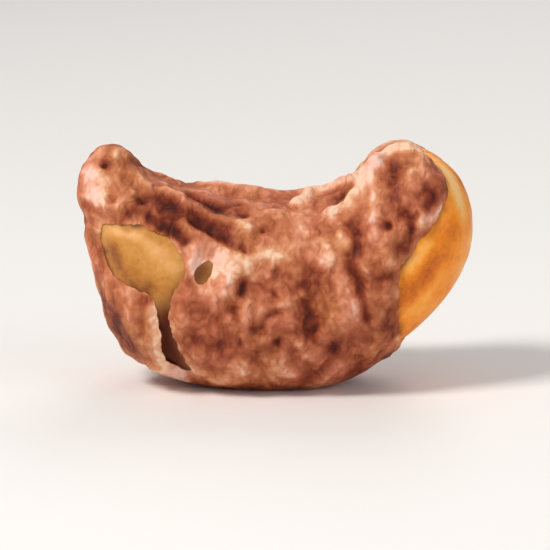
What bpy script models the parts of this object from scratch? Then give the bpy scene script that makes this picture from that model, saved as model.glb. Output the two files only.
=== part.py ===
"""A roasted cashew nut in its thin brown skin, resting on its curved back.

The kernel is one bean-shaped body. The skin is a thin shell round it, wrinkled across the nut and torn
open in three places: at the left end's front, with a loose flap below it, in a small hole beside that,
and over the right end. X runs along the nut, Y across its thickness with the front at -Y, and Z is up.
The origin is on the surface that the nut rests on, under the middle of its bounding box.

A place on the nut is given by two angles, as on a globe: polar runs from 0 at the left tip to 180
degrees at the right one, and around is 0 on the curved back, 90 on the front and 180 on the hollow side.
"""

import bmesh
import bpy
import numpy as np
from mathutils import Vector, noise

# Driving dimensions, in metres.
LENGTH = 0.0275
HEIGHT = 0.0170
THICKNESS = 0.0128
SKIN_PLY = 0.0003
SKIN_GAP = 0.0003
SEAT_CUT = 0.00035
SEAT_WIDTH = 0.0046
# The skin round the seat is at least this high.
SEAT_EDGE = 0.00008
# Brings the middle of the nut's box over the origin.
TO_MIDDLE = 0.00019

# Sections from the left tip to the right one. Each is a point on the curved back and the point across
# from it on the hollow side, in shares of LENGTH and HEIGHT, and the width in shares of THICKNESS.
SECTIONS = (
    (-0.430, 0.994, -0.430, 0.994, 0.00),
    (-0.493, 0.912, -0.367, 0.966, 0.30),
    (-0.501, 0.765, -0.318, 0.888, 0.53),
    (-0.468, 0.500, -0.240, 0.834, 0.84),
    (-0.387, 0.150, -0.153, 0.806, 0.98),
    (-0.133, 0.000, -0.048, 0.786, 1.00),
    (0.143, 0.018, 0.082, 0.788, 0.97),
    (0.361, 0.218, 0.170, 0.856, 0.95),
    (0.500, 0.520, 0.215, 0.940, 0.82),
    (0.490, 0.828, 0.275, 0.996, 0.52),
    (0.378, 1.000, 0.378, 1.000, 0.00),
)
BACK_FULLNESS = 0.08
BACK_GROOVE, HOLLOW_GROOVE = 0.00012, 0.00035
GROOVE_ANGLE = 0.17

# The flat seat, a rectangle, covers these angles of the back, in radians.
SEAT_POLAR = np.radians((90, 105))
SEAT_SWEEP = np.radians(20)
ROUND_OFF = 1e-5

# Tears: closed outlines of polar and around in degrees, and how far the skin stands off there, in metres.
LEFT_TEAR = (
    (45, 50, 0.0001),
    (46, 78, 0.0001),
    (49, 98, 0.0002),
    (56, 111, 0.0003),
    (64, 115, 0.0003),
    (71, 112, 0.0002),
    (74, 101, 0.0001),
    (73.5, 89, 0.0002),
    (75, 78, 0.0001),
    (77.5, 67, 0.0001),
    (80, 54, 0.0001),
    (83, 41, 0.0001),
    (84, 31, 0.0003),
    (81, 35, 0.0008),
    (78, 46, 0.0009),
    (75.5, 58, 0.0009),
    (73, 69, 0.0007),
    (70, 76, 0.0003),
    (66, 73, 0.0002),
    (60, 57, 0.0001),
    (54, 43, 0.0001),
    (49, 41, 0.0001),
)
SMALL_HOLE = (
    (77, 111, 0.0001),
    (79, 116, 0.0001),
    (81, 111, 0.0002),
    (81, 104, 0.0001),
    (79, 101, 0.0001),
    (77, 105, 0.0001),
)
RIGHT_TEAR = (
    (175, 110, 0.0001),
    (167, 68, 0.0002),
    (159, 67, 0.0003),
    (151, 75, 0.0002),
    (142, 84, 0.0001),
    (134, 86, 0.0002),
    (128, 78, 0.0002),
    (125, 60, 0.0001),
    (123, 30, 0.0001),
    (125, -8, 0.0001),
    (132, -42, 0.0002),
    (145, -68, 0.0001),
    (160, -82, 0.0002),
    (170, -96, 0.0001),
)
TEARS = (LEFT_TEAR, SMALL_HOLE, RIGHT_TEAR)
TEAR_SAMPLES = 160
RAGGED = 0.00018
RAGGED_PITCH = 0.0009
CURL_WIDTH = 0.0011

# Folds: height and half width in metres, then the places that the fold runs through, in degrees.
FOLDS = (
    (-0.00030, 0.0005, ((13, 84), (13, 96), (13, 108))),
    (0.00055, 0.0006, ((44, 150), (60, 150), (76, 150), (90, 142))),
    (-0.00020, 0.0004, ((50, 140), (64, 139), (80, 139), (92, 132))),
    (0.00050, 0.0006, ((60, 128), (74, 129), (88, 122), (96, 112))),
    (0.00060, 0.0008, ((100, 176), (114, 172), (130, 170), (150, 166))),
    (0.00040, 0.0006, ((108, 150), (113, 128), (115, 104), (113, 82))),
    (0.00040, 0.0005, ((87, 104), (88, 88), (90, 72), (93, 56))),
    (-0.00020, 0.0005, ((100, 118), (101, 100), (103, 82), (104, 66))),
    (0.00045, 0.0006, ((122, 132), (126, 118), (124, 100), (120, 84))),
    (0.00040, 0.0005, ((58, -160), (72, -150), (84, -136), (90, -116))),
    (0.00035, 0.0006, ((96, -158), (100, -136), (98, -112), (102, -88))),
    (-0.00020, 0.0004, ((108, -150), (112, -126), (110, -100), (114, -76))),
    (0.00030, 0.0005, ((126, -148), (128, -124), (124, -98), (128, -74))),
    (0.00035, 0.0005, ((50, -130), (60, -108), (66, -84), (76, -60))),
)
FOLD_SAMPLES = 40
WRINKLE_HEIGHT, WRINKLE_PITCH, WRINKLE_STRETCH = 0.00016, 0.0020, 3.0
LUMP_HEIGHT, LUMP_PITCH = 0.00018, 0.0052
LOWEST_RELIEF, HIGHEST_RELIEF = -0.00006, 0.0006
SMOOTH_BELOW = 0.0022

KERNEL_SIDES, KERNEL_RINGS = 32, 40
SKIN_SIDES, SKIN_RINGS = 36, 60
FINE_BAND = 0.0009
CLEAR_SPLIT = 0.15


def spline_controls(values):
    """The control values of the closed cubic B-spline that passes through these values."""
    count = len(values)
    matrix = np.zeros((count, count))
    for row in range(count):
        matrix[row, row] = 4 / 6
        matrix[row, (row - 1) % count] = 1 / 6
        matrix[row, (row + 1) % count] = 1 / 6
    return np.linalg.solve(matrix, values)


def closed_spline(controls, turn):
    """The spline's values at each turn, where 0 to 1 is once round it."""
    count = len(controls)
    place = (turn % 1.0) * count
    first = np.floor(place).astype(int)
    t = (place - first)[:, None]
    weights = (
        (1 - t) ** 3 / 6,
        (3 * t**3 - 6 * t**2 + 4) / 6,
        (-3 * t**3 + 3 * t**2 + 3 * t + 1) / 6,
        t**3 / 6,
    )
    return sum(w * controls[(first + k - 1) % count] for k, w in enumerate(weights))


def outline_controls():
    """The nut's side outline as a closed spline: x, z and half width, from the left tip along the back
    to the right tip and home along the hollow side, where the half width counts as negative."""
    rise = HEIGHT + SEAT_CUT
    back = [(s[0] * LENGTH, s[1] * rise, s[4] * THICKNESS / 2) for s in SECTIONS]
    hollow = [(s[2] * LENGTH, s[3] * rise, -s[4] * THICKNESS / 2) for s in SECTIONS[-2:0:-1]]
    return spline_controls(np.array(back + hollow) + (TO_MIDDLE, 0, 0))


OUTLINE = outline_controls()


def nut_form(polar, around):
    """Points of the nut's smooth outside at these angles, in radians. The back is flat at its seat."""
    turn = polar / (2 * np.pi)
    back = closed_spline(OUTLINE, turn)
    hollow = closed_spline(OUTLINE, 1.0 - turn)
    middle = (back + hollow) / 2
    reach = (back - hollow) / 2
    from_hollow = np.pi - np.abs(around)
    groove = BACK_GROOVE * np.exp(-((around / GROOVE_ANGLE) ** 2))
    groove -= HOLLOW_GROOVE * np.exp(-((from_hollow / GROOVE_ANGLE) ** 2))
    depth = np.linalg.norm(reach[:, :2], axis=1)
    across = np.cos(around) - np.sin(polar) * groove / np.maximum(depth, 1e-6)
    x = middle[:, 0] + reach[:, 0] * across
    z = middle[:, 1] + reach[:, 1] * across
    y = -reach[:, 2] * np.sin(around) * (1 + BACK_FULLNESS * np.cos(around))
    on_seat = np.abs(around) < SEAT_SWEEP + ROUND_OFF
    on_seat &= (polar > SEAT_POLAR[0] - ROUND_OFF) & (polar < SEAT_POLAR[1] + ROUND_OFF)
    x = np.where(on_seat, back[:, 0], x)
    y = np.where(on_seat, -SEAT_WIDTH / 2 * around / SEAT_SWEEP, y)
    z = np.where(on_seat, 0, np.maximum(z - SEAT_CUT, SEAT_EDGE))
    return np.stack([x, y, z], axis=1)


def globe_points(polar, around):
    """The unit sphere's points at these angles."""
    ring = np.sin(polar)
    return np.stack([ring * np.cos(around), ring * np.sin(around), np.cos(polar)], axis=1)


def globe_angles(points):
    """The polar and around angles of points on the unit sphere."""
    polar = np.arccos(np.clip(points[:, 2], -1, 1))
    return polar, np.arctan2(points[:, 1], points[:, 0])


def flattened(points, centre):
    """Globe points as a flat map round a centre, true to their distance and direction from it."""
    east = np.cross([0.0, 0.0, 1.0], centre)
    east /= np.linalg.norm(east)
    north = np.cross(centre, east)
    away = np.arccos(np.clip(points @ centre, -1, 1))
    flat = np.stack([points @ east, points @ north], axis=1)
    return flat * (away / np.maximum(np.linalg.norm(flat, axis=1), 1e-9))[:, None]


def inside_outline(points, outline):
    """Whether each flat point lies inside the closed outline, by counting the edges to its right."""
    inside = np.zeros(len(points), bool)
    for (x0, y0), (x1, y1) in zip(outline, np.roll(outline, -1, axis=0)):
        if y0 == y1:
            continue
        spans = (y0 > points[:, 1]) != (y1 > points[:, 1])
        crossing = x0 + (points[:, 1] - y0) * (x1 - x0) / (y1 - y0)
        inside ^= spans & (points[:, 0] < crossing)
    return inside


def tear_distance(globe, form):
    """Each point's distance to the nearest tear's edge, negative inside a tear, and its stand-off there."""
    nearest = np.full(len(globe), 1.0)
    stand_off = np.zeros(len(globe))
    for tear in TEARS:
        turn = np.arange(TEAR_SAMPLES) / TEAR_SAMPLES
        corners = np.array(tear, float)
        on_globe = globe_points(*np.radians(corners[:, :2]).T)
        edge = closed_spline(spline_controls(np.column_stack([on_globe, corners[:, 2]])), turn)
        edge[:, :3] /= np.linalg.norm(edge[:, :3], axis=1, keepdims=True)
        centre = on_globe.mean(axis=0)
        centre /= np.linalg.norm(centre)
        edge_form = nut_form(*globe_angles(edge[:, :3]))
        gap = np.linalg.norm(form[:, None] - edge_form[None], axis=2)
        closest = gap.argmin(axis=1)
        distance = gap[np.arange(len(globe)), closest]
        inside = inside_outline(flattened(globe, centre), flattened(edge[:, :3], centre))
        inside &= globe @ centre > 0
        distance = np.where(inside, -distance, distance)
        nearer = distance < nearest
        nearest = np.where(nearer, distance, nearest)
        stand_off = np.where(nearer, edge[closest, 3], stand_off)
    ragged = [noise.noise(Vector(p) / RAGGED_PITCH) for p in form]
    return nearest + RAGGED * np.array(ragged), stand_off


def fold_relief(form):
    """How far the folds raise the skin at each point."""
    raised = np.zeros(len(form))
    for height, half_width, places in FOLDS:
        stations = np.radians(np.array(places, float))
        along = np.linspace(0, 1, FOLD_SAMPLES)
        knots = np.linspace(0, 1, len(stations))
        polar, around = (np.interp(along, knots, stations[:, k]) for k in (0, 1))
        line = nut_form(polar, around)
        gap = np.linalg.norm(form[:, None] - line[None], axis=2)
        closest = gap.argmin(axis=1)
        distance = gap[np.arange(len(form)), closest]
        fade = np.sin(np.pi * along[closest]) ** 0.5
        raised += height * fade * np.exp(-((distance / half_width) ** 2))
    return raised


def skin_relief(form, polar, around):
    """How far folds, wrinkles across the nut and lumps raise the skin over its smooth form."""
    raised = fold_relief(form)
    ring = np.sin(polar) * WRINKLE_STRETCH / 2
    for k, point in enumerate(form):
        along = (point[0] + 0.5 * point[2]) / WRINKLE_PITCH
        across = Vector((along, ring[k] * np.cos(around[k]), ring[k] * np.sin(around[k])))
        raised[k] += WRINKLE_HEIGHT * noise.noise(across)
        raised[k] += LUMP_HEIGHT * noise.noise(Vector(point) / LUMP_PITCH)
    above_seat = np.clip(form[:, 2] / SMOOTH_BELOW, 0, 1)
    fade = above_seat**2 * (3 - 2 * above_seat)
    return np.clip(fade * raised, LOWEST_RELIEF, HIGHEST_RELIEF)


def new_globe(sides, rings):
    """A unit sphere with its poles on Z, as a bmesh of triangles and quads."""
    bm = bmesh.new()
    bmesh.ops.create_uvsphere(bm, u_segments=sides, v_segments=rings, radius=1)
    return bm


def vertex_points(bm):
    return np.array([v.co for v in bm.verts])


def move_to(bm, points):
    for vertex, point in zip(bm.verts, points):
        vertex.co = point
    bm.normal_update()


def sink(bm, depth):
    """Moves every vertex inwards along its normal."""
    for vertex, normal in zip(bm.verts, [v.normal.copy() for v in bm.verts]):
        vertex.co -= depth * normal


def new_object(name, bm, material, collection):
    mesh = bpy.data.meshes.new(name)
    bm.to_mesh(mesh)
    bm.free()
    mesh.shade_smooth()
    mesh.materials.append(material)
    obj = bpy.data.objects.new(name, mesh)
    collection.objects.link(obj)
    return obj


def new_material(name, colour, roughness):
    material = bpy.data.materials.new(name)
    material.use_nodes = True
    shader = material.node_tree.nodes["Principled BSDF"]
    shader.inputs["Base Color"].default_value = (*colour, 1)
    shader.inputs["Roughness"].default_value = roughness
    shader.inputs["Metallic"].default_value = 0
    return material


def build_kernel(collection):
    bm = new_globe(KERNEL_SIDES, KERNEL_RINGS)
    move_to(bm, nut_form(*globe_angles(vertex_points(bm))))
    sink(bm, SKIN_PLY + SKIN_GAP)
    return new_object("kernel", bm, new_material("kernel", (0.70, 0.36, 0.10), 0.45), collection)


def refine_near_tears(bm):
    """Halves the edges close to a tear, so that its outline stays fine."""
    globe = vertex_points(bm)
    distance, _ = tear_distance(globe, nut_form(*globe_angles(globe)))
    bm.verts.index_update()
    close = [e for e in bm.edges if min(abs(distance[v.index]) for v in e.verts) < FINE_BAND]
    bmesh.ops.subdivide_edges(bm, edges=close, cuts=1, use_grid_fill=True)
    for vertex in bm.verts:
        vertex.co.normalize()
    bmesh.ops.triangulate(bm, faces=bm.faces)


def open_tears(bm):
    """Splits the triangles along the tears' edges and removes what lies inside them."""
    globe = vertex_points(bm)
    distance, _ = tear_distance(globe, nut_form(*globe_angles(globe)))
    layer = bm.verts.layers.float.new("distance")
    for vertex, value in zip(bm.verts, distance):
        vertex[layer] = value
    for edge in list(bm.edges):
        start, end = edge.verts
        if start[layer] * end[layer] >= 0:
            continue
        share = start[layer] / (start[layer] - end[layer])
        share = min(max(share, CLEAR_SPLIT), 1 - CLEAR_SPLIT)
        _, middle = bmesh.utils.edge_split(edge, start, share)
        middle.co.normalize()
        middle[layer] = 0.0
    for face in list(bm.faces):
        ends = [v for v in face.verts if v[layer] == 0.0]
        if len(ends) == 2:
            bmesh.utils.face_split(face, *ends)
    torn = [f for f in bm.faces if any(v[layer] < 0 for v in f.verts)]
    bmesh.ops.delete(bm, geom=torn, context="FACES")
    bmesh.ops.triangulate(bm, faces=bm.faces)


def build_skin(collection):
    """The skin's outside is an open surface, which Solidify thickens inwards."""
    bm = new_globe(SKIN_SIDES, SKIN_RINGS)
    refine_near_tears(bm)
    open_tears(bm)
    globe = vertex_points(bm)
    polar, around = globe_angles(globe)
    form = nut_form(polar, around)
    distance, stand_off = tear_distance(globe, form)
    curl = stand_off * np.exp(-((np.maximum(distance, 0) / CURL_WIDTH) ** 2))
    height = curl + skin_relief(form, polar, around)
    move_to(bm, form)
    for vertex, lift, floor in zip(bm.verts, height.tolist(), form[:, 2].tolist()):
        vertex.co += vertex.normal * lift
        vertex.co.z = max(vertex.co.z, min(floor, SEAT_EDGE))
    skin = new_object("skin", bm, new_material("skin", (0.30, 0.13, 0.075), 0.6), collection)
    shell = skin.modifiers.new("ply", "SOLIDIFY")
    shell.thickness = SKIN_PLY
    shell.offset = -1
    return skin


def main():
    for obj in list(bpy.data.objects):
        bpy.data.objects.remove(obj)
    nut = bpy.data.collections.new("cashew_nut")
    bpy.context.scene.collection.children.link(nut)
    build_kernel(nut)
    build_skin(nut)


main()
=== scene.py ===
"""The looks of a roasted cashew nut in its thin, wrinkled skin, on a plain pale floor.

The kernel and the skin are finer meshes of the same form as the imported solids, which they replace. A
place on the nut is given by two angles, as on a globe: polar runs from 0 at the left tip to 180 degrees
at the right one, and around is 0 on the curved back, 90 on the front and 180 on the hollow side.
"""

import math

import bmesh
import bpy
import numpy as np
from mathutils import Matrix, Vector, kdtree, noise


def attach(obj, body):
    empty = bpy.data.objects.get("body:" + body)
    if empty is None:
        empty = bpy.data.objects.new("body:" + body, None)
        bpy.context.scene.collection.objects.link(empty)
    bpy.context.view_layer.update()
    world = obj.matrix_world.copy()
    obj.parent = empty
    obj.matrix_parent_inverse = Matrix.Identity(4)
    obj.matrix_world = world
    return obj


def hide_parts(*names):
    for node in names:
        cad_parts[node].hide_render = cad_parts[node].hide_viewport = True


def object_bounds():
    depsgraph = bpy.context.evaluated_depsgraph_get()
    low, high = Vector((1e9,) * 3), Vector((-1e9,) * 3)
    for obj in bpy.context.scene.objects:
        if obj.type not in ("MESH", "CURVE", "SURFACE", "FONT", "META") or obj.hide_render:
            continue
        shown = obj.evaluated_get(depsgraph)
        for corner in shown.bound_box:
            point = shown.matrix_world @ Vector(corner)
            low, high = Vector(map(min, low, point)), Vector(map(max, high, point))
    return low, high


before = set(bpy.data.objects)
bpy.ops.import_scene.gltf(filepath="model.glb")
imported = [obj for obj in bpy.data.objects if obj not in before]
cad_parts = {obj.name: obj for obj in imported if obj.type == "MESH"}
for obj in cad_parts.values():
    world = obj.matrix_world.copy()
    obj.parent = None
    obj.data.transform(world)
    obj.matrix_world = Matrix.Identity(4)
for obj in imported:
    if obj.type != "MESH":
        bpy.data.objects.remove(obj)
cad_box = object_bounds()

MM = 0.001

# The form, in metres and shares of it, as in the solids.
LENGTH = 0.0275
HEIGHT = 0.0170
THICKNESS = 0.0128
SEAT_CUT = 0.00035
TO_MIDDLE = 0.00019
SECTIONS = (
    (-0.430, 0.994, -0.430, 0.994, 0.00),
    (-0.493, 0.912, -0.367, 0.966, 0.30),
    (-0.501, 0.765, -0.318, 0.888, 0.53),
    (-0.468, 0.500, -0.240, 0.834, 0.84),
    (-0.387, 0.150, -0.153, 0.806, 0.98),
    (-0.133, 0.000, -0.048, 0.786, 1.00),
    (0.143, 0.018, 0.082, 0.788, 0.97),
    (0.361, 0.218, 0.170, 0.856, 0.95),
    (0.500, 0.520, 0.215, 0.940, 0.82),
    (0.490, 0.828, 0.275, 0.996, 0.52),
    (0.378, 1.000, 0.378, 1.000, 0.00),
)
BACK_FULLNESS = 0.08
BACK_GROOVE, HOLLOW_GROOVE = 0.00012, 0.00035
GROOVE_ANGLE = 0.17

# Tears: closed outlines of polar and around in degrees, and how far the skin stands off there, in metres.
# They are as in the solids, but the slit beside the flap is narrower and tapers towards its foot.
LEFT_TEAR = (
    (45, 50, 0.0001),
    (46, 78, 0.0001),
    (49, 98, 0.0002),
    (56, 111, 0.0003),
    (64, 115, 0.0003),
    (71, 112, 0.0002),
    (74, 101, 0.0001),
    (73.5, 89, 0.0002),
    (75, 78, 0.0001),
    (77.5, 67, 0.0001),
    (80, 54, 0.0001),
    (82.6, 41, 0.0001),
    (84, 32, 0.0001),
    (83, 31, 0.0002),
    (80.8, 38, 0.0004),
    (78.8, 47, 0.0006),
    (76.2, 58, 0.0006),
    (73.5, 69, 0.0004),
    (70, 76, 0.0003),
    (66, 73, 0.0002),
    (60, 57, 0.0001),
    (54, 43, 0.0001),
    (49, 41, 0.0001),
)
SMALL_HOLE = (
    (77, 111, 0.0001),
    (79, 116, 0.0001),
    (81, 111, 0.0002),
    (81, 104, 0.0001),
    (79, 101, 0.0001),
    (77, 105, 0.0001),
)
RIGHT_TEAR = (
    (175, 110, 0.0001),
    (167, 68, 0.0002),
    (159, 67, 0.0003),
    (151, 75, 0.0002),
    (142, 84, 0.0001),
    (134, 86, 0.0002),
    (128, 78, 0.0002),
    (125, 60, 0.0001),
    (123, 30, 0.0001),
    (125, -8, 0.0001),
    (132, -42, 0.0002),
    (145, -68, 0.0001),
    (160, -82, 0.0002),
    (170, -96, 0.0001),
)
TEARS = (LEFT_TEAR, SMALL_HOLE, RIGHT_TEAR)
TEAR_SAMPLES = 900
# How far the tears' edges wander, and over what pitch, in metres.
RAGGED = ((0.00030, 0.0018), (0.00020, 0.0008), (0.00012, 0.00035))
# Where a tear crosses a mesh edge, the split stays this share of it away from its ends.
CLEAR_SPLIT = 0.08

# The skin's mesh, its ply and its height over the smooth form, in metres.
SKIN_SIDES, SKIN_RINGS = 192, 266
SKIN_PLY = 0.00009
SKIN_BASE = -0.00010
LOWEST_SKIN, HIGHEST_SKIN = -0.00036, 0.00060
# The skin sinks onto the kernel at a tear, and curls up where it stands off by more than it clings below.
EDGE_HEIGHT, EDGE_WIDTH = -0.00053, 0.0008
CLINGS_BELOW, CURL_GAIN = 0.00030, 1.8
# Close to the floor, under these heights, the relief and the sinking fade out.
SMOOTH_BELOW, SINKS_ABOVE = 0.0020, 0.0006

# The skin's noise, bent by a slower one: pitch and height in metres, and tone. The tone follows the
# height, so the noise's creases are painted darker as shade and its bumps paler as highlight.
BEND_PITCH, BEND_REACH, BEND_STARTS = 0.0019, 0.0006, (31, 47, 63)
BROAD_PITCH, BROAD_HEIGHT, BROAD_TONE = 0.0026, 0.00058, 0.50
MIDDLING_PITCH, MIDDLING_HEIGHT, MIDDLING_TONE = 0.0014, 0.00044, 0.36
MIDDLING_START = 5
LUMP_PITCH, LUMP_HEIGHT, LUMP_TONE = 0.0048, 0.00010, 0.08
PATCH_PITCH, PATCH_TONE, PATCH_START = 0.0033, 0.24, 70
# Stretches of the noise: spots are taller than wide, and patches are longer along the nut.
SPOT_SHAPE = (1.0, 0.68, 0.68)
PATCH_SHAPE = (0.6, 1.0, 1.0)
# The usual size of the noise, which the bumps are counted from.
USUAL_NOISE = 0.19
MIDDLE_TONE = 0.51
# How strongly the marks below act.
MARK_HEIGHT_GAIN, MARK_TONE_GAIN = 1.15, 0.44
# How much calmer the noise is on the left knob, in the hollow and on the marks, and over what angles, in
# radians.
KNOB_CALM, KNOB_ANGLE = 0.6, math.radians(28)
HOLLOW_CALM, HOLLOW_ANGLE = 0.35, 0.7
MARKED_CALM = 0.5
# A tear's edge is paler, and more so for each metre that it stands off: that added paleness is a painted
# highlight on the lifted edge.
PALE_WIDTH, PALE_TONE, STAND_OFF_HIGHLIGHT = 0.0004, 0.08, 180

# The kernel's mesh and its depth under the smooth form, in metres.
KERNEL_SIDES, KERNEL_RINGS = 140, 200
KERNEL_DEPTH = 0.00058
# Its seam, ribs, lumps and pits: pitch and relief in metres, and how much browner they are.
SEAM_STRAY, SEAM_STRAY_PITCH, SEAM_WIDTH = 0.03, 0.004, 0.05
SEAM_DEPTH, SEAM_TOAST = 0.00018, 0.24
RIB_SHAPE = (0.25, 1.0, 1.0)
RIB_PITCH, RIB_HEIGHT, RIB_TOAST = 0.0011, 0.00004, 0.08
SWELL_PITCH, SWELL_HEIGHT, SWELL_TOAST = 0.0032, 0.00005, 0.16
PIT_PITCH, PIT_LEVEL, PIT_DEPTH, PIT_TOAST = 0.0009, 0.35, 0.00012, 0.35
MIDDLE_TOAST = 0.5
# Its brown stain under the skin: how far it reaches into a tear, and its patches' shares and pitches.
STAIN_WIDTH = 0.00060
STAIN_SHARE, STAIN_PATCHES = 0.35, ((0.9, 0.0016), (0.5, 0.0005))
STRONGEST_STAIN = 0.75
# The kernel turns from yellow to orange to the right of this place, over this width, in mm.
ORANGE_FROM, ORANGE_OVER = -4, 8

# The photograph is taken from this far above the level.
SIGHT_ELEVATION = math.radians(12)
# The grid over the form that places seen from the front are looked up in. It reaches past the hollow.
FRONT_RINGS, FRONT_SIDES = 240, 190
FAR_RIM = math.radians(225)
NEAR_POINTS = 9
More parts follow.
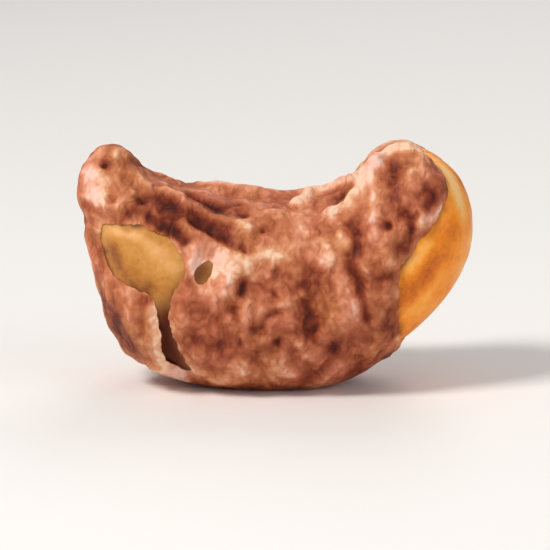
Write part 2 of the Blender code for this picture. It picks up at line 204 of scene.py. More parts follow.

# Marks on the front: tone, dark below 0 and pale above it, height in mm, half width in mm, and the points
# that the mark runs through, in mm to the right and up as they are seen from the front.
# Dark marks that sink the skin paint shade into its creases and dimples, and pale marks that raise it paint
# highlights on its ridges, along with the skin's own mottling.
MARKS = (
    # The left knob: pale, partly a painted highlight on its lit left side, pink at its right, with a
    # dimple.
    (0.95, 0.08, 0.90, ((-12.6, 14.4), (-12.7, 13.2), (-12.1, 12.6))),
    (0.65, 0.08, 0.80, ((-13.1, 14.6), (-12.8, 15.3), (-12.1, 15.9))),
    (0.20, 0.05, 0.60, ((-11.2, 16.2), (-10.4, 16.0))),
    (0.70, 0.10, 0.50, ((-11.3, 14.0), (-10.7, 14.6))),
    (0.45, 0.10, 0.58, ((-10.7, 15.7), (-9.9, 15.6))),
    (-1.30, -0.30, 0.32, ((-11.6, 15.1),)),
    (-0.60, -0.10, 0.44, ((-12.2, 11.8), (-13.2, 12.2))),
    # Below the knob: mottled.
    (0.65, 0.20, 0.44, ((-9.1, 14.2), (-8.6, 13.7))),
    (0.45, 0.15, 0.35, ((-7.8, 14.5), (-7.2, 14.4))),
    (0.35, 0.15, 0.32, ((-10.4, 12.2), (-9.7, 13.1))),
    (-1.00, -0.25, 0.38, ((-9.1, 12.7),)),
    (-0.60, -0.20, 0.38, ((-11.1, 12.6),)),
    (-0.90, -0.20, 0.35, ((-9.9, 11.8),)),
    (-1.20, -0.20, 0.35, ((-8.5, 11.6), (-7.7, 11.0), (-6.5, 10.5), (-6.1, 9.9))),
    (-0.60, -0.15, 0.35, ((-9.7, 15.3), (-8.8, 15.1))),
    # Folds that fall to the right from the knob.
    (-0.80, -0.05, 1.20, ((-7.1, 12.2), (-5.6, 11.7), (-4.0, 11.6))),
    (0.95, 0.30, 0.35, ((-7.4, 13.4), (-6.3, 13.0))),
    (0.95, 0.30, 0.32, ((-5.4, 13.9), (-4.2, 13.6), (-3.0, 13.2))),
    (-1.10, -0.30, 0.35, ((-5.9, 13.2), (-4.8, 12.6), (-3.9, 12.2), (-2.6, 12.6))),
    (0.95, 0.40, 0.33, ((-6.2, 12.6), (-5.2, 12.0), (-4.2, 11.5), (-2.9, 11.2), (-1.7, 10.7))),
    (-0.80, -0.20, 0.29, ((-2.6, 12.2), (-2.1, 11.6))),
    (-0.50, -0.15, 0.35, ((-5.8, 11.2), (-4.8, 11.0))),
    (-0.90, -0.25, 0.50, ((-4.3, 10.5), (-3.2, 10.0), (-2.1, 9.4))),
    (0.45, 0.25, 0.58, ((-5.9, 9.4), (-4.8, 9.0))),
    (0.60, 0.28, 0.32, ((-6.2, 11.2), (-5.3, 10.5), (-4.2, 9.9), (-3.0, 9.1))),
    # The upper middle: tan, and raised along the hollow's rim.
    (0.42, 0.48, 1.10, ((-3.4, 13.4), (-1.6, 13.2), (0.4, 13.0), (1.6, 13.1))),
    (0.45, 0.10, 0.73, ((-1.8, 14.5), (-1.1, 14.7))),
    (-0.10, -0.10, 0.88, ((0.5, 14.4),)),
    (0.65, 0.20, 0.38, ((-0.5, 11.9), (0.5, 11.8))),
    (0.55, 0.15, 0.44, ((-1.8, 11.3),)),
    (-0.90, -0.25, 0.35, ((-0.7, 10.7),)),
    (0.40, 0.00, 1.17, ((-0.1, 9.4), (2.2, 9.7), (1.7, 11.6))),
    (-0.40, -0.15, 0.41, ((3.0, 10.7),)),
    # The pale ridge from the hollow up the right lobe and along the lobe's top, paler partly as a painted
    # highlight.
    (2.00, 0.42, 0.48, ((1.6, 12.5), (2.5, 13.0), (3.6, 13.5), (4.7, 14.0), (5.7, 14.1))),
    (1.60, 0.42, 0.48, ((3.8, 11.8), (4.9, 12.3), (5.7, 13.4), (6.1, 14.4), (6.9, 15.3))),
    (2.00, 0.28, 0.55, ((6.9, 15.3), (7.9, 16.1), (9.8, 16.3))),
    (0.90, 0.00, 1.30, ((5.9, 15.2), (6.8, 16.1), (7.8, 16.8), (9.4, 16.8))),
    (-0.70, -0.25, 0.35, ((4.4, 13.0),)),
    # The right lobe.
    (0.90, 0.30, 0.46, ((6.5, 14.4), (6.6, 13.2), (6.8, 11.8), (6.5, 10.2))),
    (0.65, 0.25, 0.38, ((7.0, 9.6), (7.6, 8.4))),
    (-0.80, -0.25, 0.38, ((5.0, 11.0), (5.5, 10.5), (5.5, 9.1))),
    (-0.60, -0.15, 0.73, ((8.2, 14.8), (7.8, 12.8))),
    (-1.10, -0.25, 0.38, ((7.5, 10.9),)),
    (-1.10, -0.25, 0.50, ((10.7, 12.9), (10.3, 12.2))),
    (-0.90, -0.20, 0.38, ((9.3, 11.5), (9.2, 10.6))),
    (-0.60, -0.15, 0.53, ((8.8, 9.9), (8.5, 9.0))),
    (0.70, 0.18, 0.44, ((9.3, 14.6), (10.6, 14.4))),
    (0.90, 0.20, 0.38, ((11.6, 12.1), (11.1, 11.2), (10.0, 11.0))),
    (0.35, 0.10, 0.50, ((11.3, 15.4),)),
    (0.45, 0.15, 0.44, ((9.2, 13.4), (9.4, 12.6))),
    (-0.50, -0.10, 0.67, ((6.9, 7.2), (7.8, 7.4))),
    # The crease between the middle and the right lobe.
    (-0.95, -0.28, 0.41, ((4.9, 9.0), (5.0, 8.0), (5.7, 7.0), (6.1, 5.6), (6.3, 4.2))),
    (0.40, 0.20, 0.32, ((5.9, 8.3), (6.3, 7.8))),
    # The middle.
    (0.75, 0.28, 0.47, ((3.1, 9.9), (3.7, 9.3), (3.9, 8.4))),
    (0.60, 0.20, 0.35, ((-2.4, 8.5), (-1.0, 8.8), (0.6, 8.9))),
    (0.70, 0.28, 0.41, ((-3.3, 8.0), (-3.4, 6.4))),
    (-0.60, 0.00, 0.55, ((-6.2, 8.2), (-5.9, 7.2))),
    (-1.20, -0.32, 0.35, ((-2.1, 7.2), (-2.1, 6.4))),
    (-0.45, -0.15, 0.67, ((1.8, 8.7), (2.8, 7.2))),
    (-0.55, -0.20, 0.32, ((0.3, 7.8),)),
    (-0.70, -0.22, 0.35, ((0.0, 6.3),)),
    (-0.50, -0.15, 0.35, ((1.7, 6.8), (2.1, 7.0))),
    (0.60, 0.25, 0.55, ((-1.7, 5.6), (-2.0, 4.0))),
    (0.60, 0.25, 0.53, ((1.1, 5.7),)),
    (0.45, 0.20, 0.50, ((1.1, 3.8),)),
    (-0.65, -0.22, 0.38, ((-2.9, 5.2), (-2.8, 4.2))),
    (-0.95, -0.28, 0.41, ((2.2, 5.8), (2.5, 4.6), (2.5, 3.3))),
    (-0.40, -0.15, 0.35, ((-0.2, 4.9), (0.5, 4.8))),
    (0.40, 0.25, 1.02, ((4.3, 5.6), (4.7, 4.5))),
    (0.30, 0.10, 0.73, ((-4.2, 5.9), (-3.6, 5.6))),
    # The lower front.
    (-0.55, -0.10, 0.67, ((-5.3, 2.6), (-3.0, 2.4))),
    (-0.85, -0.20, 0.35, ((-1.3, 3.4), (-0.7, 3.6))),
    (-1.00, -0.22, 0.38, ((0.3, 2.7),)),
    (0.55, 0.20, 0.38, ((-1.7, 2.3), (-1.0, 2.6), (-0.2, 2.7))),
    (0.55, 0.20, 0.38, ((1.5, 2.7), (2.1, 1.8))),
    (-0.95, -0.20, 0.53, ((4.1, 2.1),)),
    (-0.35, -0.10, 0.58, ((6.6, 2.9),)),
    (0.20, 0.10, 0.58, ((-3.9, 3.4),)),
    (-0.50, -0.10, 0.73, ((7.6, 3.7), (8.7, 3.2))),
    (-0.25, 0.00, 0.58, ((8.7, 5.5),)),
    # The loose flap and its pale lifted edge, the paleness partly a painted highlight.
    (1.00, 0.08, 0.50, ((-8.4, 4.5), (-8.2, 3.6), (-8.1, 2.2), (-7.3, 0.9), (-6.4, 0.0))),
    (-0.35, 0.00, 1.50, ((-10.6, 4.2), (-10.2, 2.4))),
    (0.60, 0.20, 0.50, ((-10.0, 5.0), (-9.9, 3.6), (-9.3, 2.2))),
    (-0.60, -0.15, 0.35, ((-8.9, 5.4),)),
    (-0.55, -0.10, 0.44, ((-11.0, 4.3), (-10.9, 2.3))),
    (0.35, 0.10, 0.35, ((-11.9, 4.6), (-11.8, 3.7))),
)

# Marks on the back, which the photo doesn't show, as seen through the nut from the front.
# As on the front, the ridges are painted paler as highlight and the creases and dimples darker as shade.
BACK_MARKS = (
    # Pale ridges.
    (0.90, 0.25, 0.55, ((-12.2, 14.2), (-11.4, 12.6))),
    (0.70, 0.28, 0.45, ((-9.4, 9.6), (-8.6, 7.8), (-8.9, 6.0))),
    (0.65, 0.26, 0.42, ((-4.2, 10.6), (-4.6, 8.6), (-4.1, 6.9))),
    (0.60, 0.25, 0.42, ((-0.9, 7.9), (-0.4, 6.1), (-0.9, 4.6))),
    (0.75, 0.28, 0.45, ((2.9, 10.3), (3.3, 8.7), (2.8, 7.4))),
    (0.70, 0.28, 0.48, ((6.9, 13.4), (7.5, 11.4), (7.3, 9.9))),
    (0.60, 0.20, 0.50, ((8.6, 7.4), (7.8, 5.6))),
    # Creases.
    (-0.85, -0.26, 0.38, ((-7.4, 10.8), (-6.6, 9.0), (-6.9, 7.0), (-6.2, 5.1))),
    (-0.80, -0.26, 0.38, ((0.9, 10.4), (1.4, 8.6), (1.0, 6.8))),
    (-0.85, -0.28, 0.40, ((5.2, 11.2), (5.5, 9.2), (5.1, 7.2), (4.6, 5.4))),
    (-0.70, -0.20, 0.60, ((-10.2, 12.8), (-8.6, 12.0), (-7.4, 12.2))),
    # Dimples.
    (-1.00, -0.25, 0.38, ((-11.0, 10.4),)),
    (-0.90, -0.22, 0.36, ((-2.4, 5.2),)),
    (-0.90, -0.22, 0.36, ((2.8, 4.4),)),
    (-1.00, -0.25, 0.38, ((9.4, 11.6),)),
    (-0.80, -0.20, 0.50, ((-4.6, 4.0), (-3.8, 3.4))),
    (-0.80, -0.20, 0.45, ((6.4, 4.0), (7.0, 4.6))),
    (-0.90, -0.22, 0.36, ((-3.0, 9.2),)),
)
# How far the marks' edges wander, and over what pitch, in mm.
WOBBLE = ((0.12, 1.1), (0.05, 0.55))
WOBBLE_STARTS = (0.0, 40.0, 80.0)

# Where the kernel is browner, or paler: how much, the half width in mm and the points, as above. The paler
# marks along the left patch's top and right corner and along the right end's outer edge are painted
# highlights.
TOAST_AND_HIGHLIGHT_MARKS = (
    # The left patch: a painted highlight along its top and at its right corner, browner at its lower left.
    (-0.30, 0.45, ((-11.2, 10.6), (-9.0, 10.2), (-7.8, 9.4))),
    (-0.14, 0.60, ((-7.6, 8.6), (-6.4, 8.2))),
    (0.08, 0.70, ((-9.6, 9.2), (-9.9, 8.2))),
    (0.40, 0.80, ((-11.6, 9.0), (-11.0, 7.6), (-9.0, 6.7))),
    # The right end: deep orange in the middle, with a painted highlight along its outer edge.
    (0.08, 1.10, ((12.7, 10.2), (11.8, 8.9), (10.8, 7.4), (9.8, 6.1))),
    (-0.35, 0.70, ((11.0, 15.3), (12.7, 14.4), (13.3, 12.8), (13.4, 11.4))),
    (-0.25, 0.45, ((10.8, 9.4), (9.4, 8.0))),
    (-0.10, 0.40, ((11.6, 6.8), (10.9, 5.6))),
    (0.17, 0.90, ((10.6, 7.2), (9.9, 6.2), (9.4, 5.2))),
)

# Where the kernel is darker: along the narrow slit beside the flap as painted shade, and in the small
# hole as a darker brown. How much, the half width in mm and the points, as above.
SLIT_SHADE_AND_HOLE_MARKS = (
    (1.00, 1.30, ((-7.6, 4.4), (-7.7, 3.4), (-7.6, 2.2), (-7.0, 1.0), (-6.4, 0.2))),
    (0.85, 0.90, ((-5.2, 7.5), (-4.9, 8.1))),
)

# The skin's colours, from 0 to 255, by tone, and the slight tints that multiply them.
SKIN_COLOURS = (
    (0.00, (76, 24, 10)),
    (0.20, (120, 48, 24)),
    (0.42, (162, 88, 52)),
    (0.62, (194, 120, 80)),
    (0.82, (223, 160, 121)),
    (1.00, (244, 208, 180)),
)
SKIN_TINTS = ((0.38, (255, 250, 240)), (0.62, (255, 240, 252)))
# The kernel's colours by how toasted it is, at its yellow left and its orange right.
YELLOW_MEAT = (
    (0.10, (236, 178, 116)),
    (0.38, (214, 152, 78)),
    (0.62, (190, 124, 50)),
    (0.90, (140, 76, 30)),
)
ORANGE_MEAT = (
    (0.10, (255, 200, 128)),
    (0.36, (255, 170, 66)),
    (0.60, (246, 142, 20)),
    (0.84, (200, 94, 12)),
    (1.00, (112, 46, 12)),
)
# The stain's brown, which also paints the shade in the slit beside the flap.
STAIN_AND_SHADE_COLOUR = (84, 22, 6)
# The middles of a noise texture and of the wrinkles made from it.
NOISE_MIDDLE, WRINKLE_MIDDLE = 0.5, 0.1

FLOOR_SIZE, FLOOR_COLOUR, FLOOR_ROUGHNESS = 1.2, (244, 242, 239), 0.6
SKY_COLOUR, SKY_STRENGTH = (240, 240, 242), 0.40
# Square soft lights: name, place and width in metres, power in watts, and colour.
LIGHTS = (
    ("key", (-0.20, -0.14, 0.29), 0.10, 1.05, (1.0, 0.97, 0.93)),
    ("fill", (0.25, -0.16, 0.14), 0.20, 0.19, (0.96, 0.97, 1.0)),
    ("rim", (0.08, 0.25, 0.22), 0.18, 0.22, (1.0, 0.98, 0.95)),
)
# The camera's lens and sensor in mm, the height that it looks at, the share of the frame that the nut
# spans, and the nearest and farthest that it sees, in metres.
LENS, SENSOR_WIDTH = 200, 36
AIM_HEIGHT, FRAME_SHARE = 0.0076, 0.72
NEAREST, FARTHEST = 0.01, 10


def spline_controls(values):
    """The control values of the closed cubic B-spline that passes through these values."""
    count = len(values)
    matrix = np.zeros((count, count))
    for row in range(count):
        matrix[row, row] = 4 / 6
        matrix[row, (row - 1) % count] = 1 / 6
        matrix[row, (row + 1) % count] = 1 / 6
    return np.linalg.solve(matrix, values)


def closed_spline(controls, turn):
    """The spline's values at each turn, where 0 to 1 is once round it."""
    count = len(controls)
    place = (turn % 1.0) * count
    first = np.floor(place).astype(int)
    t = (place - first)[:, None]
    weights = (
        (1 - t) ** 3 / 6,
        (3 * t**3 - 6 * t**2 + 4) / 6,
        (-3 * t**3 + 3 * t**2 + 3 * t + 1) / 6,
        t**3 / 6,
    )
    return sum(w * controls[(first + k - 1) % count] for k, w in enumerate(weights))


def outline_controls():
    """The nut's side outline as a closed spline of x, z and half width, which counts as negative on the
    hollow side."""
    rise = HEIGHT + SEAT_CUT
    back = [(s[0] * LENGTH, s[1] * rise, s[4] * THICKNESS / 2) for s in SECTIONS]
    hollow = [(s[2] * LENGTH, s[3] * rise, -s[4] * THICKNESS / 2) for s in SECTIONS[-2:0:-1]]
    return spline_controls(np.array(back + hollow) + (TO_MIDDLE, 0, 0))


OUTLINE = outline_controls()


def nut_form(polar, around):
    """Points of the nut's smooth outside at these angles, in radians. The back is flat where it rests."""
    turn = polar / (2 * np.pi)
    back = closed_spline(OUTLINE, turn)
    hollow = closed_spline(OUTLINE, 1.0 - turn)
    middle = (back + hollow) / 2
    reach = (back - hollow) / 2
    from_hollow = np.pi - np.abs(around)
    groove = BACK_GROOVE * np.exp(-((around / GROOVE_ANGLE) ** 2))
    groove -= HOLLOW_GROOVE * np.exp(-((from_hollow / GROOVE_ANGLE) ** 2))
    depth = np.linalg.norm(reach[:, :2], axis=1)
    across = np.cos(around) - np.sin(polar) * groove / np.maximum(depth, 1e-6)
    x = middle[:, 0] + reach[:, 0] * across
    z = middle[:, 1] + reach[:, 1] * across
    y = -reach[:, 2] * np.sin(around) * (1 + BACK_FULLNESS * np.cos(around))
    return np.stack([x, y, np.maximum(z - SEAT_CUT, 0)], axis=1)


def globe_points(polar, around):
    """The unit sphere's points at these angles."""
    ring = np.sin(polar)
    return np.stack([ring * np.cos(around), ring * np.sin(around), np.cos(polar)], axis=1)


def globe_angles(points):
    """The polar and around angles of points on the unit sphere."""
    polar = np.arccos(np.clip(points[:, 2], -1, 1))
    return polar, np.arctan2(points[:, 1], points[:, 0])


def flattened(points, centre):
    """Globe points as a flat map round a centre, true to their distance and direction from it."""
    east = np.cross([0.0, 0.0, 1.0], centre)
    east /= np.linalg.norm(east)
    north = np.cross(centre, east)
    away = np.arccos(np.clip(points @ centre, -1, 1))
    flat = np.stack([points @ east, points @ north], axis=1)
    return flat * (away / np.maximum(np.linalg.norm(flat, axis=1), 1e-9))[:, None]


def inside_outline(points, outline):
    """Whether each flat point lies inside the closed outline, by counting the edges to its right."""
    inside = np.zeros(len(points), bool)
    for (x0, y0), (x1, y1) in zip(outline, np.roll(outline, -1, axis=0)):
        if y0 == y1:
            continue
        spans = (y0 > points[:, 1]) != (y1 > points[:, 1])
        crossing = x0 + (points[:, 1] - y0) * (x1 - x0) / (y1 - y0)
        inside ^= spans & (points[:, 0] < crossing)
    return inside


def noise_at(points):
    """Smooth noise of about -1 to 1 at each point."""
    return np.array([noise.noise(Vector(p)) for p in points])


def tear_distance(globe, form):
    """Each point's distance to the nearest tear's edge, negative inside a tear, and its stand-off there."""
    nearest = np.full(len(globe), 1.0)
    stand_off = np.zeros(len(globe))
    for tear in TEARS:
        turn = np.arange(TEAR_SAMPLES) / TEAR_SAMPLES
        corners = np.array(tear, float)
        on_globe = globe_points(*np.radians(corners[:, :2]).T)
        edge = closed_spline(spline_controls(np.column_stack([on_globe, corners[:, 2]])), turn)
        edge[:, :3] /= np.linalg.norm(edge[:, :3], axis=1, keepdims=True)
        centre = on_globe.mean(axis=0)
        centre /= np.linalg.norm(centre)
        tree = kdtree.KDTree(TEAR_SAMPLES)
        for index, point in enumerate(nut_form(*globe_angles(edge[:, :3]))):
            tree.insert(point, index)
        tree.balance()
        found = [tree.find(p) for p in form]
        closest = np.array([f[1] for f in found])
        distance = np.array([f[2] for f in found])
        inside = inside_outline(flattened(globe, centre), flattened(edge[:, :3], centre))
        inside &= globe @ centre > 0
        distance = np.where(inside, -distance, distance)
        nearer = distance < nearest
        nearest = np.where(nearer, distance, nearest)
        stand_off = np.where(nearer, edge[closest, 3], stand_off)
    for size, pitch in RAGGED:
        nearest = nearest + size * noise_at(form / pitch)
    return nearest, stand_off


def upright_noise(form, pitch, start):
    """Noise whose spots are taller than wide, with this pitch along the nut, in metres."""
    return noise_at(form * SPOT_SHAPE / pitch + start)


def noise_shift(places, pitch, starts):
    """A smooth shift of each place, of about -1 to 1 each way."""
    return np.stack([noise_at(places / pitch + start) for start in starts], axis=1)


def front_places():
    """Points over the form's front and hollow, in mm, and a tree of where each is seen from the front."""
    polar, around = np.meshgrid(np.linspace(0, np.pi, FRONT_RINGS), np.linspace(0, FAR_RIM, FRONT_SIDES))
    points = nut_form(polar.ravel(), around.ravel()) / MM
    up = points[:, 2] * math.cos(SIGHT_ELEVATION) + points[:, 1] * math.sin(SIGHT_ELEVATION)
    tree = kdtree.KDTree(len(points))
    for index, point in enumerate(points):
        tree.insert((point[0], up[index], 0), index)
    tree.balance()
    return points, tree


FRONT_POINTS, FRONT_TREE = front_places()


def on_front(right, up):
    """The form's foremost point, in mm, that is seen at this place from the front."""
    near = [FRONT_POINTS[index] for _, index, _ in FRONT_TREE.find_n((right, up, 0), NEAR_POINTS)]
    return min(near, key=lambda point: point[1])


def astray(form):
    """The points in mm, each a little to one side, so that the marks' edges wander."""
    places = form / MM
    for size, pitch in WOBBLE:
        places = places + size * noise_shift(form / MM, pitch, WOBBLE_STARTS)
    return places


def mark_bell(places, width, points, side=1):
    """How strongly each place feels a mark: 1 on the line through the mark's points, 0 far off. Side 1 is
    the front, and -1 the back."""
    stations = np.array([on_front(*point) for point in points]) * (1, side, 1)
    distance = np.linalg.norm(places - stations[0], axis=1)
    for start, end in zip(stations, stations[1:]):
        run = end - start
        share = np.clip((places - start) @ run / (run @ run), 0, 1)
        distance = np.minimum(distance, np.linalg.norm(places - start - share[:, None] * run, axis=1))
    return np.exp(-((distance / width) ** 2))


def mark_fields(form):
    """The tone and the height in metres that the marks add, and how much of each point is marked."""
    places = astray(form)
    tone = np.zeros(len(form))
    height = np.zeros(len(form))
    marked = np.zeros(len(form))
    sides = [(1, mark) for mark in MARKS] + [(-1, mark) for mark in BACK_MARKS]
    for side, (mark_tone, mark_height, width, points) in sides:
        bell = mark_bell(places, width, points, side)
        tone += mark_tone * bell
        height += mark_height * MM * bell
        marked += bell
    return tone, height, np.clip(marked, 0, 1)


def new_globe(sides, rings):
    """A unit sphere with its poles on Z."""
    bm = bmesh.new()
    bmesh.ops.create_uvsphere(bm, u_segments=sides, v_segments=rings, radius=1)
    return bm


def vertex_points(bm):
    return np.array([v.co for v in bm.verts])


def move_to(bm, points):
    for vertex, point in zip(bm.verts, points):
        vertex.co = point
    bm.normal_update()


def open_tears(bm):
    """Splits the faces along the tears' edges and removes what lies inside them."""
    globe = vertex_points(bm)
    distance, _ = tear_distance(globe, nut_form(*globe_angles(globe)))
    layer = bm.verts.layers.float.new("distance")
    for vertex, value in zip(bm.verts, distance):
        vertex[layer] = value
    near = [f for f in bm.faces if min(v[layer] for v in f.verts) < 0 < max(v[layer] for v in f.verts)]
    bmesh.ops.triangulate(bm, faces=near)
    for edge in list(bm.edges):
        start, end = edge.verts
        if start[layer] * end[layer] >= 0:
            continue
        share = start[layer] / (start[layer] - end[layer])
        share = min(max(share, CLEAR_SPLIT), 1 - CLEAR_SPLIT)
        _, middle = bmesh.utils.edge_split(edge, start, share)
        middle.co.normalize()
        middle[layer] = 0.0
    for face in list(bm.faces):
        ends = [v for v in face.verts if v[layer] == 0.0]
        if len(ends) == 2:
            bmesh.utils.face_split(face, *ends)
    torn = [f for f in bm.faces if any(v[layer] < 0 for v in f.verts)]
    bmesh.ops.delete(bm, geom=torn, context="FACES")
    bmesh.ops.triangulate(bm, faces=[f for f in bm.faces if len(f.verts) > 4])


def skin_fields(form, polar, around, distance, stand_off):
    """The skin's height over the smooth form, in metres, and its tone from 0, dark, to 1, pale."""
    bent = form + BEND_REACH * noise_shift(form, BEND_PITCH, BEND_STARTS)
    broad = np.abs(upright_noise(bent, BROAD_PITCH, 0)) - USUAL_NOISE
    middling = np.abs(upright_noise(bent, MIDDLING_PITCH, MIDDLING_START)) - USUAL_NOISE
    lumps = noise_at(form / LUMP_PITCH)
    patches = noise_at(form * PATCH_SHAPE / PATCH_PITCH + PATCH_START)
    mark_tone, mark_height, marked = mark_fields(form)
    from_hollow = np.pi - np.abs(around)
    calm = 1 - KNOB_CALM * np.exp(-((polar / KNOB_ANGLE) ** 2))
    calm *= 1 - HOLLOW_CALM * np.exp(-((from_hollow / HOLLOW_ANGLE) ** 2))
    plain = (1 - MARKED_CALM * marked) * calm
    height = plain * (BROAD_HEIGHT * broad + MIDDLING_HEIGHT * middling) + LUMP_HEIGHT * lumps
    height += MARK_HEIGHT_GAIN * mark_height
    # The noise and lumps that raise the skin also pale it: painted shade in its creases, painted highlight
    # on its bumps.
    tone = plain * (BROAD_TONE * broad + MIDDLING_TONE * middling + PATCH_TONE * patches)
    tone += MIDDLE_TONE + LUMP_TONE * lumps + MARK_TONE_GAIN * mark_tone
    above_floor = np.clip(form[:, 2] / SMOOTH_BELOW, 0, 1)
    fade = above_floor**2 * (3 - 2 * above_floor)
    height = np.clip(SKIN_BASE + height, LOWEST_SKIN, HIGHEST_SKIN) * fade
    from_edge = np.maximum(distance, 0)
    sunk = np.exp(-((from_edge / EDGE_WIDTH) ** 2)) * np.clip(form[:, 2] / SINKS_ABOVE, 0, 1)
    edge_height = EDGE_HEIGHT + CURL_GAIN * np.maximum(stand_off - CLINGS_BELOW, 0)
    height = height * (1 - sunk) + edge_height * sunk
    # A tear's edge is paler, and a lifted edge also gets a painted highlight.
    tone += np.exp(-((from_edge / PALE_WIDTH) ** 2)) * (PALE_TONE + STAND_OFF_HIGHLIGHT * stand_off)
    return height, np.clip(tone, 0, 1)


def store(mesh, name, values):
    """Keeps one number for each vertex, for the material to read."""
    layer = mesh.attributes.new(name, "FLOAT", "POINT")
    layer.data.foreach_set("value", np.asarray(values, np.float32))


def new_piece(name, bm, material):
    """The bmesh as a smooth object of the scene."""
    mesh = bpy.data.meshes.new(name)
    bm.to_mesh(mesh)
    bm.free()
    mesh.shade_smooth()
    mesh.materials.append(material)
    piece = bpy.data.objects.new(name, mesh)
    bpy.context.scene.collection.objects.link(piece)
    return piece


def keep_in_box(bm, low, high):
    """Moves every vertex that is outside the box onto it."""
    for vertex in bm.verts:
        vertex.co = [min(max(c, a), b) for c, a, b in zip(vertex.co, low, high)]


def build_skin(material):
    """The torn skin: an open surface that Solidify thickens inwards."""
    bm = new_globe(SKIN_SIDES, SKIN_RINGS)
    open_tears(bm)
    globe = vertex_points(bm)
    polar, around = globe_angles(globe)
    form = nut_form(polar, around)
    distance, stand_off = tear_distance(globe, form)
    move_to(bm, form)
    normals = np.array([v.normal for v in bm.verts])
    height, tone = skin_fields(form, polar, around, distance, stand_off)
    move_to(bm, form + height[:, None] * normals)
    low, high = cad_box
    keep_in_box(bm, (low[0], low[1], 0.0), high)
    piece = new_piece("skin_wrinkled", bm, material)
    store(piece.data, "tone", tone)
    ply = piece.modifiers.new("ply", "SOLIDIFY")
    ply.thickness = SKIN_PLY
    ply.offset = -1
    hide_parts("skin")
    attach(piece, "root")


def build_kernel(material):
    """The whole kernel, with the seam of its halves along its curved back."""
    bm = new_globe(KERNEL_SIDES, KERNEL_RINGS)
    globe = vertex_points(bm)
    polar, around = globe_angles(globe)
    form = nut_form(polar, around)
    move_to(bm, form)
    normals = np.array([v.normal for v in bm.verts])
    from_seam = np.sin(around) * np.sin(polar) + SEAM_STRAY * noise_at(form / SEAM_STRAY_PITCH)
    seam = np.exp(-((from_seam / SEAM_WIDTH) ** 2)) * (np.cos(around) > 0)
    ribs = noise_at(form * RIB_SHAPE / RIB_PITCH)
    swells = noise_at(form / SWELL_PITCH)
    pits = np.clip(noise_at(form / PIT_PITCH) - PIT_LEVEL, 0, 1)
    depth = KERNEL_DEPTH + SEAM_DEPTH * seam - RIB_HEIGHT * ribs - SWELL_HEIGHT * swells + PIT_DEPTH * pits
    move_to(bm, form - depth[:, None] * normals)
    toast_and_highlight = MIDDLE_TOAST + SWELL_TOAST * swells + RIB_TOAST * ribs + SEAM_TOAST * seam + PIT_TOAST * pits
    places = astray(form)
    # These marks paint highlights on the patches' lit edges, and make other places browner or paler.
    for change, width, points in TOAST_AND_HIGHLIGHT_MARKS:
        toast_and_highlight += change * mark_bell(places, width, points)
    distance, _ = tear_distance(globe, form)
    covered = np.clip(1 + distance / STAIN_WIDTH, 0, 1)
    patchy = STAIN_SHARE + sum(share * noise_at(form / pitch) for share, pitch in STAIN_PATCHES)
    stain_and_shade = np.clip(covered * patchy, 0, STRONGEST_STAIN)
    # The slit beside the flap is painted dark as shade, and the small hole is made a darker brown.
    for share, width, points in SLIT_SHADE_AND_HOLE_MARKS:
        stain_and_shade = np.maximum(stain_and_shade, share * mark_bell(places, width, points))
    ripe = np.clip((form[:, 0] / MM - ORANGE_FROM) / ORANGE_OVER, 0, 1)
    piece = new_piece("kernel_golden", bm, material)
    store(piece.data, "toast_and_highlight", toast_and_highlight)
    store(piece.data, "stain_and_shade", stain_and_shade)
    store(piece.data, "ripe", ripe)
    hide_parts("kernel")
    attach(piece, "root")


def linear(red, green, blue):
    """A colour of 0 to 255 as the shader takes it."""
    shares = [c / 255 for c in (red, green, blue)]
    return [c / 12.92 if c <= 0.04045 else ((c + 0.055) / 1.055) ** 2.4 for c in shares] + [1.0]


def new_material(name):
    """A material, its node tree and its shader."""
    material = bpy.data.materials.new(name)
    material.use_nodes = True
    return material, material.node_tree, material.node_tree.nodes["Principled BSDF"]


def add_node(tree, kind, **settings):
    node = tree.nodes.new(kind)
    for name, value in settings.items():
        setattr(node, name, value)
    return node


def stored(tree, name):
    """The numbers that the mesh keeps under this name."""
    return add_node(tree, "ShaderNodeAttribute", attribute_name=name).outputs["Fac"]


def grain_noise(tree, stretch, scale, detail, distortion=0.0):
    """Noise over the nut's own X, Y and Z in millimetres, each scaled by its factor of the stretch."""
    place = add_node(tree, "ShaderNodeTexCoord")
    mapping = add_node(tree, "ShaderNodeMapping")
    mapping.inputs["Scale"].default_value = [factor / MM for factor in stretch]
    tree.links.new(place.outputs["Object"], mapping.inputs["Vector"])
    grain = add_node(tree, "ShaderNodeTexNoise")
    grain.inputs["Scale"].default_value = scale
    grain.inputs["Detail"].default_value = detail
    grain.inputs["Distortion"].default_value = distortion
    tree.links.new(mapping.outputs["Vector"], grain.inputs["Vector"])
    return grain.outputs["Fac"]


def combine(tree, operation, first, second=None, third=None):
    """One math node's output. Each input is a socket or a number."""
    node = add_node(tree, "ShaderNodeMath", operation=operation)
    for socket, value in zip(node.inputs, (first, second, third)):
        if isinstance(value, bpy.types.NodeSocket):
            tree.links.new(value, socket)
        elif value is not None:
            socket.default_value = value
    return node.outputs[0]


def from_middle(tree, value, gain, middle):
    """How far a value is from its middle, times the gain."""
    return combine(tree, "MULTIPLY_ADD", value, gain, -gain * middle)


def wrinkles(tree, stretch, scale):
    """Sharp creases, at 0, round bumps that rise to about 0.3."""
    grain = grain_noise(tree, stretch, scale, detail=1.0, distortion=0.25)
    return combine(tree, "ABSOLUTE", combine(tree, "SUBTRACT", grain, NOISE_MIDDLE))


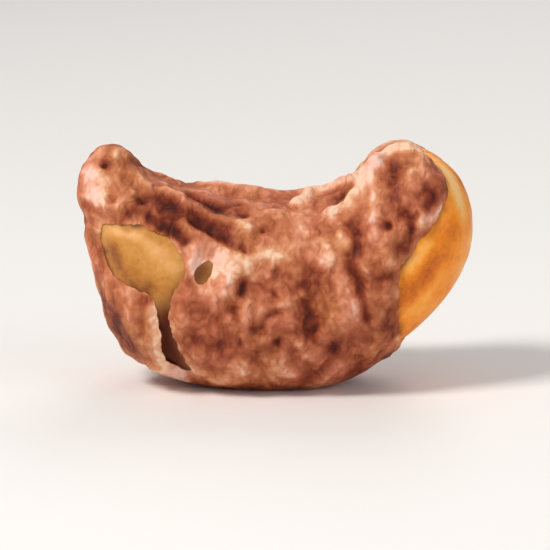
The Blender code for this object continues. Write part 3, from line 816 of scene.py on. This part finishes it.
def mix_colours(tree, blend, share, first, second):
    """Two colours mixed. The share is a socket or a number, and each colour a socket or from linear."""
    node = add_node(tree, "ShaderNodeMix", data_type="RGBA", blend_type=blend)
    sockets = [socket for socket in node.inputs if socket.enabled]
    for socket, value in zip(sockets, (share, first, second)):
        if isinstance(value, bpy.types.NodeSocket):
            tree.links.new(value, socket)
        else:
            socket.default_value = value
    return next(socket for socket in node.outputs if socket.enabled)


def colour_ramp(tree, stops, factor):
    """A ramp through colours of 0 to 255 at their places."""
    ramp = add_node(tree, "ShaderNodeValToRGB")
    elements = ramp.color_ramp.elements
    while len(elements) < len(stops):
        elements.new(0.5)
    for element, (place, colour) in zip(elements, stops):
        element.position = place
        element.color = linear(*colour)
    tree.links.new(factor, ramp.inputs["Fac"])
    return ramp.outputs["Color"]


def add_bump(tree, shader, height, strength, distance):
    bump = add_node(tree, "ShaderNodeBump")
    bump.inputs["Strength"].default_value = strength
    bump.inputs["Distance"].default_value = distance
    tree.links.new(height, bump.inputs["Height"])
    tree.links.new(bump.outputs["Normal"], shader.inputs["Normal"])


def skin_material():
    """Dry papery skin, finely wrinkled: red-brown to tan and pale pink, painted darker in the creases as
    shade and paler on the ridges.
    """
    material, tree, shader = new_material("papery_skin")
    mottle = grain_noise(tree, (1.0, 0.75, 0.75), scale=1.9, detail=4)
    large = wrinkles(tree, (1.0, 0.7, 0.7), scale=0.62)
    small = wrinkles(tree, (1.0, 0.8, 0.8), scale=1.45)
    factor = from_middle(tree, mottle, gain=0.40, middle=NOISE_MIDDLE)
    # The wrinkles that the bump below raises also set the colour: painted shade in their creases, paler
    # bumps.
    factor = combine(tree, "ADD", factor, from_middle(tree, large, gain=0.9, middle=WRINKLE_MIDDLE))
    factor = combine(tree, "ADD", factor, from_middle(tree, small, gain=0.7, middle=WRINKLE_MIDDLE))
    factor = combine(tree, "ADD", factor, stored(tree, "tone"))
    colour = colour_ramp(tree, SKIN_COLOURS, factor)
    tint = colour_ramp(tree, SKIN_TINTS, grain_noise(tree, (1.0, 0.8, 0.8), scale=0.32, detail=2))
    tree.links.new(mix_colours(tree, "MULTIPLY", 1.0, colour, tint), shader.inputs["Base Color"])
    shader.inputs["Specular IOR Level"].default_value = 0.22
    roughness = combine(tree, "MULTIPLY_ADD", mottle, 0.25, 0.48)
    tree.links.new(roughness, shader.inputs["Roughness"])
    relief = combine(tree, "MULTIPLY_ADD", mottle, 0.12, large)
    relief = combine(tree, "MULTIPLY_ADD", small, 0.55, relief)
    add_bump(tree, shader, relief, strength=0.7, distance=0.0008)
    return material


def kernel_material():
    """Golden roasted nut meat: yellow at the left, orange at the right, with painted highlights along its
    lit edges, stained under the skin and painted dark as shade in the slit beside the flap.
    """
    material, tree, shader = new_material("golden_kernel")
    cloud = grain_noise(tree, (1.0, 1.0, 1.0), scale=0.45, detail=3)
    speckle = grain_noise(tree, (1.0, 1.0, 1.0), scale=3.2, detail=4)
    factor = from_middle(tree, cloud, gain=0.6, middle=NOISE_MIDDLE)
    factor = combine(tree, "ADD", factor, from_middle(tree, speckle, gain=0.3, middle=NOISE_MIDDLE))
    factor = combine(tree, "ADD", factor, stored(tree, "toast_and_highlight"))
    yellow = colour_ramp(tree, YELLOW_MEAT, factor)
    orange = colour_ramp(tree, ORANGE_MEAT, factor)
    meat = mix_colours(tree, "MIX", stored(tree, "ripe"), yellow, orange)
    # The brown stain under the skin, and the painted shade in the slit beside the flap.
    stain_and_shade = stored(tree, "stain_and_shade")
    colour = mix_colours(tree, "MIX", stain_and_shade, meat, linear(*STAIN_AND_SHADE_COLOUR))
    tree.links.new(colour, shader.inputs["Base Color"])
    roughness = combine(tree, "MULTIPLY_ADD", stain_and_shade, 0.45, 0.42)
    tree.links.new(roughness, shader.inputs["Roughness"])
    shader.inputs["Specular IOR Level"].default_value = 0.30
    shader.inputs["Subsurface Weight"].default_value = 0.15
    shader.inputs["Subsurface Radius"].default_value = (1.0, 0.45, 0.15)
    shader.inputs["Subsurface Scale"].default_value = 0.0009
    add_bump(tree, shader, speckle, strength=0.25, distance=0.00006)
    return material


def build_stage():
    """A wide pale floor under an even pale sky."""
    material, _, shader = new_material("pale_floor")
    shader.inputs["Base Color"].default_value = linear(*FLOOR_COLOUR)
    shader.inputs["Roughness"].default_value = FLOOR_ROUGHNESS
    bm = bmesh.new()
    bmesh.ops.create_grid(bm, x_segments=1, y_segments=1, size=FLOOR_SIZE)
    floor = new_piece("floor", bm, material)
    world = bpy.data.worlds.new("pale_sky")
    world.use_nodes = True
    background = world.node_tree.nodes["Background"]
    background.inputs["Color"].default_value = linear(*SKY_COLOUR)
    background.inputs["Strength"].default_value = SKY_STRENGTH
    bpy.context.scene.world = world


def add_light(name, place, size, power, colour):
    """A square soft light that looks at the nut's middle."""
    light = bpy.data.lights.new(name, "AREA")
    light.size = size
    light.energy = power
    light.color = colour
    lamp = bpy.data.objects.new(name, light)
    lamp.location = place
    aim = Vector((0, 0, HEIGHT / 2)) - lamp.location
    lamp.rotation_euler = aim.to_track_quat("-Z", "Y").to_euler()
    bpy.context.scene.collection.objects.link(lamp)


def build_camera():
    """The photograph's view: from the front and a little above, with a long lens."""
    camera = bpy.data.cameras.new("camera")
    camera.lens = LENS
    camera.sensor_width = SENSOR_WIDTH
    camera.clip_start = NEAREST
    camera.clip_end = FARTHEST
    eye = bpy.data.objects.new("camera", camera)
    bpy.context.scene.collection.objects.link(eye)
    target = Vector((0, 0, AIM_HEIGHT))
    distance = LENGTH / FRAME_SHARE * camera.lens / camera.sensor_width
    back = Vector((0, -math.cos(SIGHT_ELEVATION), math.sin(SIGHT_ELEVATION)))
    eye.location = target + back * distance
    eye.rotation_euler = (-back).to_track_quat("-Z", "Y").to_euler()
    bpy.context.scene.camera = eye


build_skin(skin_material())
build_kernel(kernel_material())
build_stage()
for light_row in LIGHTS:
    add_light(*light_row)
build_camera()
bpy.context.scene.view_settings.view_transform = "Standard"
